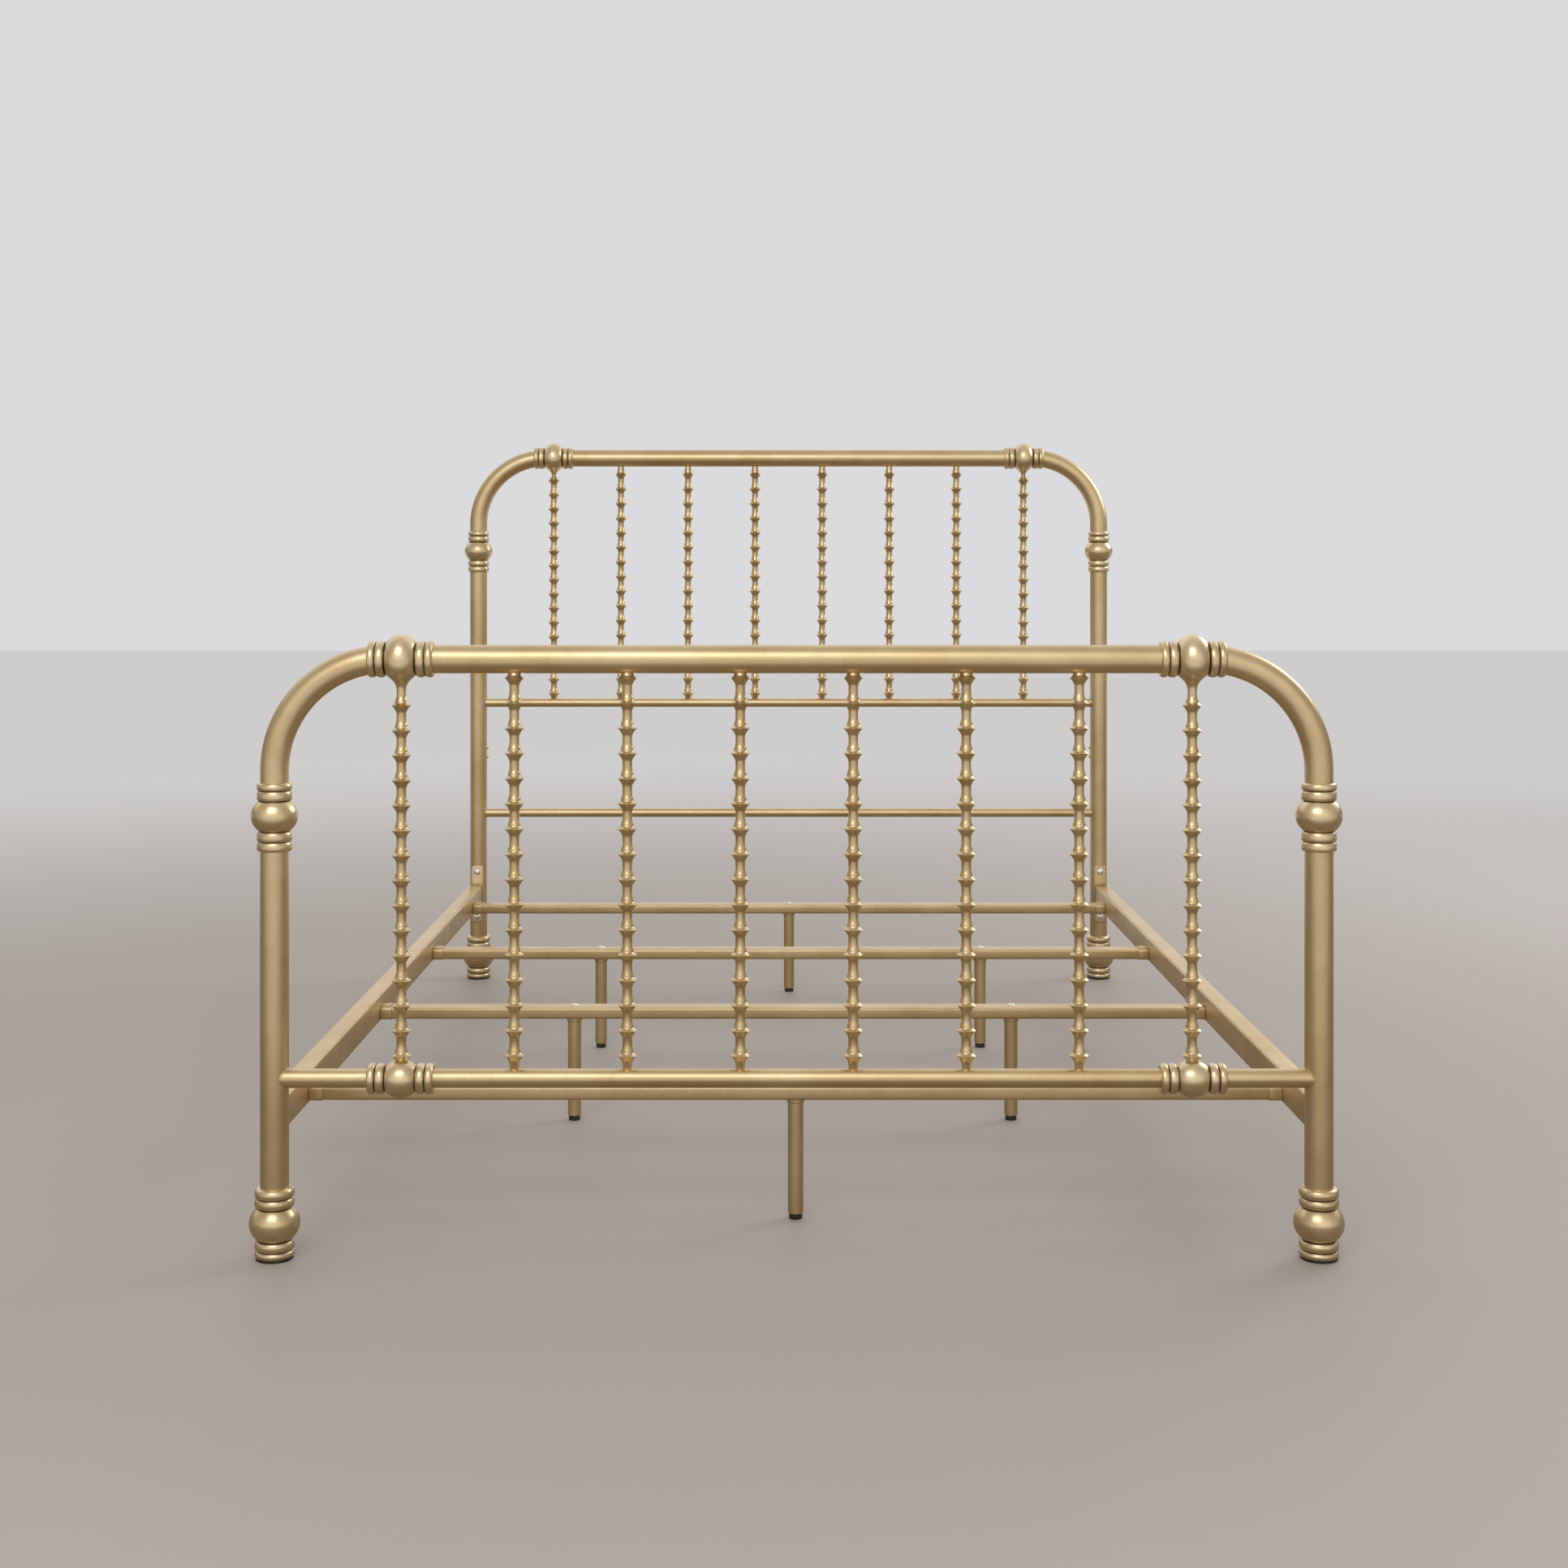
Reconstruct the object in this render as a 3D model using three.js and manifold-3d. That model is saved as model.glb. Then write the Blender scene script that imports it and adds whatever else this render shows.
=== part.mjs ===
// Full-size metal bed frame: a tall headboard and a low footboard of bent tube with beaded
// spindles and cast collars, two side rails, four cross slats and six levelling support legs.
//
// Millimetres, +Z up. The origin is on the floor under the middle of the bed, +Y runs from the
// footboard to the headboard and +X to the right of someone standing at the footboard.
import * as THREE from "three";
import { mergeVertices } from "three/addons/utils/BufferGeometryUtils.js";
import Module from "manifold-3d";

const wasm = await Module();
wasm.setup();

// ---- Driving dimensions ----

const mattressWidth = 1372; // 54 in, the mattress that drops in between the side rails
const mattressLength = 1905; // 75 in
const mattressPlay = 6; // spare width between the rails, and spare length between the posts
const headTubeHeight = 1173; // floor to the centre of the headboard's top tube
const footTubeHeight = 803; // the same for the footboard
const clearance = 0.3; // gap left between pieces that touch

const tubeRadius = 19.05; // posts and arches, 1.5 in tube
const tubeWall = 1.5;
const bendRadius = 150; // centreline of the arch corners
const bendSteps = 6;
const collarBelowBend = 63; // end of an arch's corner down to the middle of the mid collar below it
const collarPastBend = 20; // end of an arch's corner to the middle of the top collar beside it

// Turned castings on the tubes: two rings, a ball and two rings. Ring, groove and ball are
// heights above the tube's surface, and ballWidth is the length of the ball along the tube.
const midCasting = { length: 90, ring: 4.6, groove: 2, ball: 12, ballWidth: 42 };
const topCasting = { length: 92.5, ring: 5.8, groove: 3, ball: 14.4, ballWidth: 41 };
const footCasting = { length: 91, ring: 7.2, groove: 3, ball: 14.6, ballWidth: 42 };
const railCasting = { length: 92.5, ring: 7.9, groove: 4.5, ball: 12, ballWidth: 41 };
const ringSlope = 3; // along the tube, from the groove beside the ball to the first ring's edge
const ballShoulder = 0.92; // the ball's radius partway along, as a share of its widest
const ballShoulderPlace = 0.56; // and where that is, as a share of half the ball's width
const footFloor = 6; // solid bottom of a foot casting, under the post
const footChamfer = 1; // around its base
const neckWall = 1.5; // of the neck under a top collar, round the spindle
const neckFlare = 1.3; // the neck's growth over its first stretch
const neckFlareHeight = 6; // length of that stretch
const neckReach = 3; // the neck's tip below the ball
const neckSeat = 0.69; // where the neck leaves the ball, as a share of the ball's radius
const neckSocket = 7; // depth that a spindle enters a neck or a ball

const spindleCount = 8; // in each board
const beadRadius = 13.5; // edge of a bead's flange
const waistRadius = 7; // between the beads
const beadShoulder = 13; // from the top flange up to the waist
const beadUnderside = 5; // from a flange down to the waist
const spindleOverlap = 4; // a middle spindle's blank reaches this far into the tube that copes it

const footRailRadius = 12.7; // footboard's lower rail, 1 in tube
const footRailHeight = 242;
const footRailForward = 3.5; // the rail lies this far outside the plane of the posts
const crossRailRadius = 9.525; // headboard's two rails, 3/4 in tube
const upperRailHeight = 621;
const lowerRailHeight = 372.5;
const railWall = 1.2;

const postOffset = 11; // inner face of a side rail to the middle of the post
const sideRailWidth = 30; // rectangular tube
const sideRailDepth = 45;
const sideRailTop = 212; // floor to the rail's top face
const sideRailCorner = 4;
const plateWidth = 27; // end plate that bolts to the post
const plateBottom = 128;
const plateTop = 256;
const plateThickness = 4;
const boltSpacing = 101; // between the two bolts of an end plate
const boltRadius = 4;
const ventRadius = 8; // hole through the end plate into the rail

const slatWidth = 38; // rectangular tube, along the bed
const slatDepth = 19;
const slatTop = 191;
const slatCorner = 3;
const footSlatInset = 176; // footboard's plane to the middle of the first slat
const headSlatInset = 152; // headboard's plane to the middle of the last slat
const slatCount = 4;
const legSpread = 732; // between the two legs of a middle slat; an end slat has one in the middle
const legRadius = 11.1; // 22 mm tube
const legWall = 1.2;
const legRise = 7.5; // end of the leg above the floor with the glide screwed in
const legPlug = 14; // threaded plug in the end of the leg

const glideRadius = 9.5;
const stemRadius = 4;
const stemLength = 33; // floor to the tip of the stem with the glide screwed in

const tubeSides = 12;
const legSides = 8;
const spindleSides = 6;

// ---- Sizes that follow from them ----

const railInnerX = (mattressWidth + mattressPlay) / 2;
const postX = railInnerX + postOffset;
const boardSpacing = mattressLength + mattressPlay + 2 * tubeRadius; // plane to plane
const headY = boardSpacing / 2;
const footY = -boardSpacing / 2;
const endSpindleX = postX - bendRadius - collarPastBend;
const spindlePitch = (2 * endSpindleX) / (spindleCount - 1);
const railCastingBall = footRailRadius + railCasting.ball;
const neckRadius = waistRadius + clearance + neckWall;
const neckDrop = tubeRadius + topCasting.ball + neckReach;
const collarDrop = bendRadius + collarBelowBend;
const plateGap = tubeRadius + clearance; // post axis to the face of an end plate
const sideRailMiddle = sideRailTop - sideRailDepth / 2;
const slatBottom = slatTop - slatDepth;

// ---- Finishes ----

const gold = () => new THREE.MeshStandardMaterial({ color: 0xb89a62, roughness: 0.36, metalness: 0.85 });
const satinGold = () => new THREE.MeshStandardMaterial({ color: 0xab8f5c, roughness: 0.45, metalness: 0.8 });
const glidePlastic = () => new THREE.MeshStandardMaterial({ color: 0x2b2926, roughness: 0.6, metalness: 0 });

// ---- Solids ----

function toSolid(geometry) {
  const bare = geometry.clone();
  bare.deleteAttribute("normal");
  bare.deleteAttribute("uv");
  const merged = mergeVertices(bare, 1e-4);
  return new wasm.Manifold(new wasm.Mesh({
    numProp: 3,
    vertProperties: new Float32Array(merged.attributes.position.array),
    triVerts: new Uint32Array(merged.index.array),
  }));
}

function toGeometry(solid) {
  const mesh = solid.getMesh();
  const geometry = new THREE.BufferGeometry();
  geometry.setAttribute("position", new THREE.BufferAttribute(new Float32Array(mesh.vertProperties), 3));
  geometry.setIndex(new THREE.BufferAttribute(new Uint32Array(mesh.triVerts), 1));
  geometry.computeVertexNormals();
  return geometry;
}

const cut = (geometry, ...tools) =>
  toGeometry(tools.reduce((solid, tool) => solid.subtract(toSolid(tool)), toSolid(geometry)));

const join = (geometry, ...others) =>
  toGeometry(others.reduce((solid, other) => solid.add(toSolid(other)), toSolid(geometry)));

// A turned shape about +Z from [radius, height] points listed upwards along the outside.
function turned(points, sides = tubeSides) {
  const profile = points.map(([radius, height]) => new THREE.Vector2(radius, height));
  return new THREE.LatheGeometry(profile, sides).rotateX(Math.PI / 2);
}

// A rod about +Z from one height to another.
const rod = (radius, from, to, sides = tubeSides) =>
  turned([[0, from], [radius, from], [radius, to], [0, to]], sides);

// A turned sleeve about +Z: an outside profile with a straight bore through it.
function sleeve(points, bore, sides = tubeSides) {
  const bottom = points[0][1];
  const top = points[points.length - 1][1];
  return turned([...points, [bore, top], [bore, bottom], points[0]], sides);
}

const pipe = (radius, wall, from, to) => sleeve([[radius, from], [radius, to]], radius - wall);

const alongX = (geometry) => geometry.rotateY(Math.PI / 2);

// A rectangular tube along +Z with round outer corners.
function boxTube(width, depth, corner, wall, length) {
  const outline = (w, d, r, path) => {
    path.moveTo(-w / 2 + r, -d / 2);
    path.lineTo(w / 2 - r, -d / 2);
    path.absarc(w / 2 - r, -d / 2 + r, r, -Math.PI / 2, 0, false);
    path.lineTo(w / 2, d / 2 - r);
    path.absarc(w / 2 - r, d / 2 - r, r, 0, Math.PI / 2, false);
    path.lineTo(-w / 2 + r, d / 2);
    path.absarc(-w / 2 + r, d / 2 - r, r, Math.PI / 2, Math.PI, false);
    path.lineTo(-w / 2, -d / 2 + r);
    path.absarc(-w / 2 + r, -d / 2 + r, r, Math.PI, 1.5 * Math.PI, false);
    return path;
  };
  const shape = outline(width, depth, corner, new THREE.Shape());
  shape.holes.push(outline(width - 2 * wall, depth - 2 * wall, corner - wall, new THREE.Path()));
  return new THREE.ExtrudeGeometry(shape, { depth: length, bevelEnabled: false, curveSegments: 1 });
}

// ---- The arch that tops a board ----

// Centreline of an arch in the XZ plane: up a post, round a corner, across, and down again.
// Each straight is one step and each corner is bendSteps steps.
class ArchCurve extends THREE.Curve {
  constructor(halfWidth, low, high) {
    super();
    this.halfWidth = halfWidth;
    this.low = low;
    this.high = high;
    this.steps = 2 * bendSteps + 3;
  }

  getPoint(t, target = new THREE.Vector3()) {
    const step = t * this.steps;
    if (step > this.steps / 2) {
      const mirrored = this.getPoint(1 - t, target);
      return mirrored.setX(-mirrored.x);
    }
    const centreX = -this.halfWidth + bendRadius;
    const centreZ = this.high - bendRadius;
    if (step < 1) return target.set(-this.halfWidth, 0, this.low + step * (centreZ - this.low));
    if (step < 1 + bendSteps) {
      const angle = ((step - 1) / bendSteps) * (Math.PI / 2);
      return target.set(centreX - bendRadius * Math.cos(angle), 0, centreZ + bendRadius * Math.sin(angle));
    }
    return target.set(centreX - 2 * centreX * (step - 1 - bendSteps), 0, this.high);
  }

  getPointAt(u, target) {
    return this.getPoint(u, target);
  }

  getTangentAt(u, target = new THREE.Vector3()) {
    const step = u * this.steps;
    const fromEnd = Math.min(step, this.steps - step);
    const angle = (Math.min(Math.max(fromEnd - 1, 0) / bendSteps, 1) * Math.PI) / 2;
    const rising = step < this.steps / 2 ? 1 : -1;
    return target.set(Math.sin(angle), 0, rising * Math.cos(angle));
  }
}

function circle(path, radius) {
  for (let side = 0; side < tubeSides; side += 1) {
    const angle = (side / tubeSides) * 2 * Math.PI;
    const place = [radius * Math.cos(angle), radius * Math.sin(angle)];
    if (side === 0) path.moveTo(...place);
    else path.lineTo(...place);
  }
  path.closePath();
  return path;
}

function archGeometry(high, radius, bore) {
  const shape = circle(new THREE.Shape(), radius);
  if (bore) shape.holes.push(circle(new THREE.Path(), bore));
  const curve = new ArchCurve(postX, high - collarDrop + clearance, high);
  return new THREE.ExtrudeGeometry(shape, { extrudePath: curve, steps: curve.steps, bevelEnabled: false });
}

// ---- Turned castings ----

// Outside of a casting on a tube, about its own middle: two rings, a ball and two rings.
function castingProfile(casting, tube) {
  const { length, ring, groove, ball, ballWidth } = casting;
  const half = length / 2;
  const ballEnd = ballWidth / 2;
  const ringEdge = ballEnd + ringSlope;
  const upper = [
    [tube + ball, 0], [(tube + ball) * ballShoulder, ballEnd * ballShoulderPlace],
    [tube + groove, ballEnd], [tube + ring, ringEdge], [tube + groove, (half + ringEdge) / 2],
    [tube + ring, half],
  ];
  const lower = upper.slice(1).reverse().map(([radius, height]) => [radius, -height]);
  return [...lower, ...upper];
}

const midCollar = () => sleeve(castingProfile(midCasting, tubeRadius), tubeRadius + clearance);

// A top collar lies along X about the arch's centreline, with a neck that takes a spindle.
function topCollar(board, x) {
  const half = topCasting.length / 2;
  const casting = alongX(turned([[0, -half], ...castingProfile(topCasting, tubeRadius), [0, half]]));
  const seat = neckSeat * (tubeRadius + topCasting.ball);
  const neck = turned([
    [0, -neckDrop], [neckRadius, -neckDrop], [neckRadius + neckFlare, neckFlareHeight - neckDrop],
    [seat, -seat], [0, -seat],
  ]);
  const socket = rod(waistRadius + clearance, -neckDrop - clearance, neckSocket - neckDrop);
  const arch = archGeometry(board.height, tubeRadius + clearance).translate(-x, 0, -board.height);
  return cut(join(casting, neck), arch, socket);
}

// A foot casting: the same rings and ball on a closed bottom, with a bore for the post.
function footGeometry() {
  const { length, ring } = footCasting;
  const outside = castingProfile(footCasting, tubeRadius)
    .map(([radius, height]) => [radius, height + length / 2]);
  outside[0] = [tubeRadius + ring - footChamfer, 0];
  const bore = tubeRadius + clearance;
  return turned([[0, 0], ...outside, [bore, length], [bore, footFloor], [0, footFloor]]);
}

// A collar on the footboard's lower rail, with a socket on top for a spindle.
function railCollar() {
  const body = alongX(sleeve(castingProfile(railCasting, footRailRadius), footRailRadius + clearance));
  const socket = rod(waistRadius + clearance, railCastingBall - neckSocket, railCastingBall + clearance);
  return cut(body, socket.translate(0, footRailForward, 0));
}

// ---- Spindles ----

// A beaded spindle from its foot to its head, with flanges evenly spaced between two heights.
function spindleGeometry({ foot, head, firstBead, lastBead, beads }) {
  const pitch = (firstBead - lastBead) / (beads - 1);
  const points = [[0, foot], [waistRadius, foot]];
  for (let bead = 0; bead < beads; bead += 1) {
    const flange = lastBead + bead * pitch;
    points.push([waistRadius, flange - beadUnderside], [beadRadius, flange]);
  }
  points.push([waistRadius, Math.min(firstBead + beadShoulder, head - clearance)]);
  points.push([waistRadius, head], [0, head]);
  return turned(points, spindleSides);
}

// ---- Boards ----

// The first bead's flange is topBeadGap under the top tube, or collarBeadGap under a collar's neck,
// and the last one is lastBeadGap above the rail.
const boards = {
  headboard: {
    y: headY,
    height: headTubeHeight,
    railHeight: upperRailHeight,
    railRadius: crossRailRadius,
    railOffset: 0,
    beads: 16,
    topBeadGap: 17.5,
    beadsUnderCollar: 16,
    collarBeadGap: 13.5,
    lastBeadGap: 12,
  },
  footboard: {
    y: footY,
    height: footTubeHeight,
    railHeight: footRailHeight,
    railRadius: footRailRadius,
    railOffset: -footRailForward,
    beads: 16,
    topBeadGap: 6,
    beadsUnderCollar: 15,
    collarBeadGap: 25.5,
    lastBeadGap: 17,
  },
};

const bed = new THREE.Group();

function add(parent, name, geometry, material, x = 0, y = 0, z = 0) {
  const mesh = new THREE.Mesh(geometry, material);
  mesh.name = name;
  mesh.position.set(x, y, z);
  parent.add(mesh);
  return mesh;
}

const sides = [["left", -1], ["right", 1]];

// Posts, arch and castings, which both boards share.
function addBoardFrame(name, board) {
  const group = new THREE.Group();
  group.position.y = board.y;
  const joint = board.height - collarDrop; // where post and arch meet inside the mid collar
  for (const [side, sign] of sides) {
    const x = sign * postX;
    add(group, `${name}_post_${side}`, pipe(tubeRadius, tubeWall, footFloor + clearance, joint), gold(), x);
    add(group, `${name}_mid_collar_${side}`, midCollar(), gold(), x, 0, joint);
    add(group, `${name}_foot_${side}`, footGeometry(), gold(), x);
    const collarX = sign * endSpindleX;
    add(group, `${name}_top_collar_${side}`, topCollar(board, collarX), gold(), collarX, 0, board.height);
  }
  add(group, `${name}_arch`, archGeometry(board.height, tubeRadius, tubeRadius - tubeWall), gold());
  bed.add(group);
  return group;
}

// A rail across a board, its ends coped to the posts.
function crossRail(radius, offset) {
  const rail = alongX(pipe(radius, railWall, -postX, postX)).translate(0, offset, 0);
  const posts = sides.map(([, sign]) =>
    rod(tubeRadius + clearance, -2 * tubeRadius, 2 * tubeRadius).translate(sign * postX, 0, 0));
  return cut(rail, ...posts);
}

// Spindles, coped to the top tube and to the rail or seated in the collars' sockets.
function addSpindles(group, name, board) {
  const topTube = alongX(rod(tubeRadius + clearance, -postX, postX)).translate(0, 0, board.height);
  const rail = alongX(rod(board.railRadius + clearance, -postX, postX))
    .translate(0, board.railOffset, board.railHeight);
  for (let index = 0; index < spindleCount; index += 1) {
    const underCollar = index === 0 || index === spindleCount - 1;
    const onCollar = underCollar && name === "footboard";
    const headDrop = underCollar ? neckDrop - neckSocket + clearance : tubeRadius - spindleOverlap;
    const footRise = onCollar ? railCastingBall - neckSocket + clearance : 0;
    const firstDrop = underCollar ? neckDrop + board.collarBeadGap : tubeRadius + board.topBeadGap;
    let geometry = spindleGeometry({
      foot: board.railHeight + footRise,
      head: board.height - headDrop,
      firstBead: board.height - firstDrop,
      lastBead: board.railHeight + board.railRadius + board.lastBeadGap,
      beads: underCollar ? board.beadsUnderCollar : board.beads,
    });
    const tools = [];
    if (!underCollar) tools.push(topTube);
    if (!onCollar) tools.push(rail);
    if (tools.length) geometry = cut(geometry, ...tools);
    const x = index * spindlePitch - endSpindleX;
    add(group, `${name}_spindle_${index + 1}`, geometry, gold(), x);
  }
}

const headGroup = addBoardFrame("headboard", boards.headboard);
const upperRail = crossRail(crossRailRadius, 0);
add(headGroup, "headboard_upper_rail", upperRail, gold(), 0, 0, upperRailHeight);
add(headGroup, "headboard_lower_rail", upperRail, gold(), 0, 0, lowerRailHeight);
addSpindles(headGroup, "headboard", boards.headboard);

const footGroup = addBoardFrame("footboard", boards.footboard);
const footRail = crossRail(footRailRadius, -footRailForward);
add(footGroup, "footboard_lower_rail", footRail, gold(), 0, 0, footRailHeight);
for (const [side, sign] of sides) {
  const name = `footboard_lower_collar_${side}`;
  add(footGroup, name, railCollar(), gold(), sign * endSpindleX, -footRailForward, footRailHeight);
}
addSpindles(footGroup, "footboard", boards.footboard);

// ---- Side rails ----

// A rectangular tube along Y with a bolted plate welded to each end.
function sideRailGeometry(sign) {
  const length = boardSpacing - 2 * (plateGap + plateThickness);
  const railX = sign * (railInnerX + sideRailWidth / 2);
  const tube = boxTube(sideRailWidth, sideRailDepth, sideRailCorner, tubeWall, length)
    .rotateX(Math.PI / 2).translate(railX, length / 2, sideRailMiddle);
  const plates = [-1, 1].map((end) => {
    const plateY = end * (boardSpacing / 2 - plateGap - plateThickness / 2);
    const hole = (radius, x, z) =>
      rod(radius, -plateThickness, plateThickness).rotateX(Math.PI / 2).translate(x, plateY, z);
    const middle = (plateTop + plateBottom) / 2;
    return cut(
      new THREE.BoxGeometry(plateWidth, plateThickness, plateTop - plateBottom)
        .translate(sign * postX, plateY, middle),
      hole(boltRadius + clearance, sign * postX, middle + boltSpacing / 2),
      hole(boltRadius + clearance, sign * postX, middle - boltSpacing / 2),
      hole(ventRadius, railX, sideRailMiddle),
    );
  });
  return join(tube, ...plates);
}

for (const [side, sign] of sides) {
  add(bed, `side_rail_${side}`, sideRailGeometry(sign), satinGold());
}

// ---- Slats, support legs and levelling glides ----

const slatLength = 2 * (railInnerX - clearance);
const slatPitch = (boardSpacing - footSlatInset - headSlatInset) / (slatCount - 1);
let legNumber = 0;
for (let index = 0; index < slatCount; index += 1) {
  const y = footY + footSlatInset + index * slatPitch;
  const slat = boxTube(slatDepth, slatWidth, slatCorner, railWall, slatLength).rotateY(Math.PI / 2);
  add(bed, `slat_${index + 1}`, slat, satinGold(), -slatLength / 2, y, slatTop - slatDepth / 2);
  const isEnd = index === 0 || index === slatCount - 1;
  const legXs = isEnd ? [0] : [-legSpread / 2, legSpread / 2];
  for (const x of legXs) {
    legNumber += 1;
    const bore = stemRadius + clearance;
    const leg = turned([
      [bore, legRise], [legRadius, legRise], [legRadius, slatBottom - clearance],
      [legRadius - legWall, slatBottom - clearance], [legRadius - legWall, legRise + legPlug],
      [bore, legRise + legPlug], [bore, legRise],
    ], legSides);
    add(bed, `support_leg_${legNumber}`, leg, satinGold(), x, y);
    const pad = legRise - clearance;
    const glide = turned([
      [0, 0], [glideRadius, 0], [glideRadius, pad], [stemRadius, pad], [stemRadius, stemLength],
      [0, stemLength],
    ], legSides);
    add(bed, `leg_glide_${legNumber}`, glide, glidePlastic(), x, y);
  }
}

export default bed;
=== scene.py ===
from math import acos, cos, pi, radians, sin, sqrt

import bmesh
import bpy
from mathutils import Matrix, Vector


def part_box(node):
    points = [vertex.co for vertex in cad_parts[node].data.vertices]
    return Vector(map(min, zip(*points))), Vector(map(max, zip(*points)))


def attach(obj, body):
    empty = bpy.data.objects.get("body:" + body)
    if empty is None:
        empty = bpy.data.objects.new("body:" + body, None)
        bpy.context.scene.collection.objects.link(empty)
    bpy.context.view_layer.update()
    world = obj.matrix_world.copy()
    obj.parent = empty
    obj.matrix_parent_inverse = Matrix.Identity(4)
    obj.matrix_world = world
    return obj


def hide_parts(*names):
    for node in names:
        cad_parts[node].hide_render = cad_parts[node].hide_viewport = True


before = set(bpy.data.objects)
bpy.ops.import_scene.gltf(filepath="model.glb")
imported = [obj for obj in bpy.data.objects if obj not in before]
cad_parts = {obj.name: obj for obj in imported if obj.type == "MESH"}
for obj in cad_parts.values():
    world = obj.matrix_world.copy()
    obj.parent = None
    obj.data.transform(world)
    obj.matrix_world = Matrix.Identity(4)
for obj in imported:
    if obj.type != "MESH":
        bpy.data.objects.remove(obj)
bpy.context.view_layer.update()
sides = {"left": -1, "right": 1}


# The frame's own places

def middle(node):
    low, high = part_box(node)
    return (low + high) / 2


def span(node):
    low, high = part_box(node)
    return high - low


tubeRadius = span("headboard_post_left").x / 2
postX = middle("headboard_post_right").x


# Node trees, for materials and for geometry

class Wire:
    # One output socket, which arithmetic turns into more nodes
    def __init__(self, maker, socket):
        self.maker = maker
        self.socket = socket

    def maths(self, operation, *others):
        return self.maker.add("ShaderNodeMath", {"operation": operation}, dict(enumerate((self, *others))))

    def __add__(self, other):
        return self.maths("ADD", other)

    def __sub__(self, other):
        return self.maths("SUBTRACT", other)

    def __mul__(self, other):
        return self.maths("MULTIPLY", other)

    def __rsub__(self, other):
        return self.maker.add("ShaderNodeMath", {"operation": "SUBTRACT"}, {0: other, 1: self})

    __radd__ = __add__
    __rmul__ = __mul__


class Maker:
    def __init__(self, tree):
        self.tree = tree
        tree.nodes.clear()

    def add(self, kind, settings=None, values=None, output=0):
        # settings are the node's own, and values go into its sockets: a wire, a list of wires or a number
        node = self.tree.nodes.new(kind)
        for name, value in (settings or {}).items():
            if name == "stops":
                self.setStops(node.color_ramp.elements, value)
            else:
                setattr(node, name, value)
        for name, value in (values or {}).items():
            if isinstance(value, Wire):
                value = [value]
            if isinstance(value, list):
                for wire in value:
                    self.tree.links.new(wire.socket, node.inputs[name])
            else:
                node.inputs[name].default_value = value
        return Wire(self, node.outputs[output]) if len(node.outputs) else None

    def setStops(self, elements, stops):
        # stops are (place, value) pairs of grey
        while len(elements) < len(stops):
            elements.new(1)
        for element, (place, value) in zip(elements, stops):
            element.position = place
            element.color = (value, value, value, 1)

    def ramp(self, factor, stops):
        return self.add("ShaderNodeValToRGB", {"stops": stops}, {"Fac": factor})

    def mix(self, factor, first, second):
        return self.add("ShaderNodeMix", {"data_type": "RGBA"}, {0: factor, 6: first, 7: second}, output=2)


# Finishes

def linear(red, green, blue):
    # An ordinary screen colour, 0 to 255, as the shader's linear colour
    def channel(value):
        value /= 255
        return value / 12.92 if value <= 0.04045 else ((value + 0.055) / 1.055) ** 2.4

    return (channel(red), channel(green), channel(blue), 1)


goldValues = {
    "base": linear(211, 185, 138),
    "light": linear(224, 201, 157),
    "deep": linear(178, 148, 102),
    "groove": linear(72, 56, 34),  # painted shade, laid on where ambient occlusion finds crevices between rings and under balls
    "grooveReach": 0.012,
    "metallic": 0.9,
    "coatWeight": 0.25,
    "coatRoughness": 0.2,
}

# Painted light: a lighter, less saturated copy of the same gold, so that the castings look more brightly lit
castingPaintedLightValues = {**goldValues, "base": linear(223, 199, 155), "light": linear(234, 214, 174),
                 "deep": linear(192, 165, 121)}

# Painted highlight: the bolt heads are made near-white to stand for the bright highlights on them, with
# painted shade in their crevices as on the gold
paintedHighlightBoltValues = {**goldValues, "base": linear(240, 235, 222), "light": linear(250, 247, 238),
              "deep": linear(216, 207, 186), "groove": linear(120, 108, 86)}


def goldPaint(name, roughness, cloudScale, peel, flakeDepth, shades=goldValues):
    # Metallic lacquer: slow clouds of tone, fine flakes and the faint dimples of sprayed paint, with painted
    # shade in its crevices
    material = bpy.data.materials.new(name)
    material.use_nodes = True
    maker = Maker(material.node_tree)
    place = maker.add("ShaderNodeTexCoord", output="Object")
    clouds = maker.add("ShaderNodeTexNoise", None,
                       {"Vector": place, "Scale": cloudScale, "Detail": 3, "Roughness": 0.55})
    dimples = maker.add("ShaderNodeTexNoise", None, {"Vector": place, "Scale": 420, "Detail": 2})
    flakes = maker.add("ShaderNodeTexVoronoi", None, {"Vector": place, "Scale": 2600}, output="Color")
    glint = maker.add("ShaderNodeSeparateColor", None, {"Color": flakes})
    dust = maker.add("ShaderNodeTexNoise", None,
                     {"Vector": place, "Scale": 38, "Detail": 5, "Roughness": 0.7})
    tone = maker.mix(maker.ramp(clouds, ((0.38, 0), (0.66, 1))), shades["base"], shades["light"])
    tone = maker.mix(maker.ramp(dust, ((0.5, 0), (0.8, 0.35))), tone, shades["deep"])
    tone = maker.mix(glint * 0.12, tone, shades["deep"])
    # Painted shade: the colour darkens towards the groove colour wherever ambient occlusion finds the
    # surface hemmed in
    openness = maker.add("ShaderNodeAmbientOcclusion", {"samples": 8, "only_local": True},
                         {"Distance": shades["grooveReach"]}, output="AO")
    tone = maker.mix(maker.ramp(openness, ((0.3, 1), (0.9, 0))), tone, shades["groove"])
    height = dimples * peel + glint * flakeDepth
    bump = maker.add("ShaderNodeBump", None, {"Height": height, "Distance": 0.001, "Strength": 1})
    shader = maker.add("ShaderNodeBsdfPrincipled", None, {
        "Base Color": tone,
        "Metallic": shades["metallic"],
        "Roughness": clouds * 0.08 + dust * 0.08 + glint * 0.06 + (roughness - 0.11),
        "Coat Weight": shades["coatWeight"],
        "Coat Roughness": shades["coatRoughness"],
        "Normal": bump,
    })
    maker.add("ShaderNodeOutputMaterial", None, {"Surface": shader})
    return material


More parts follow.
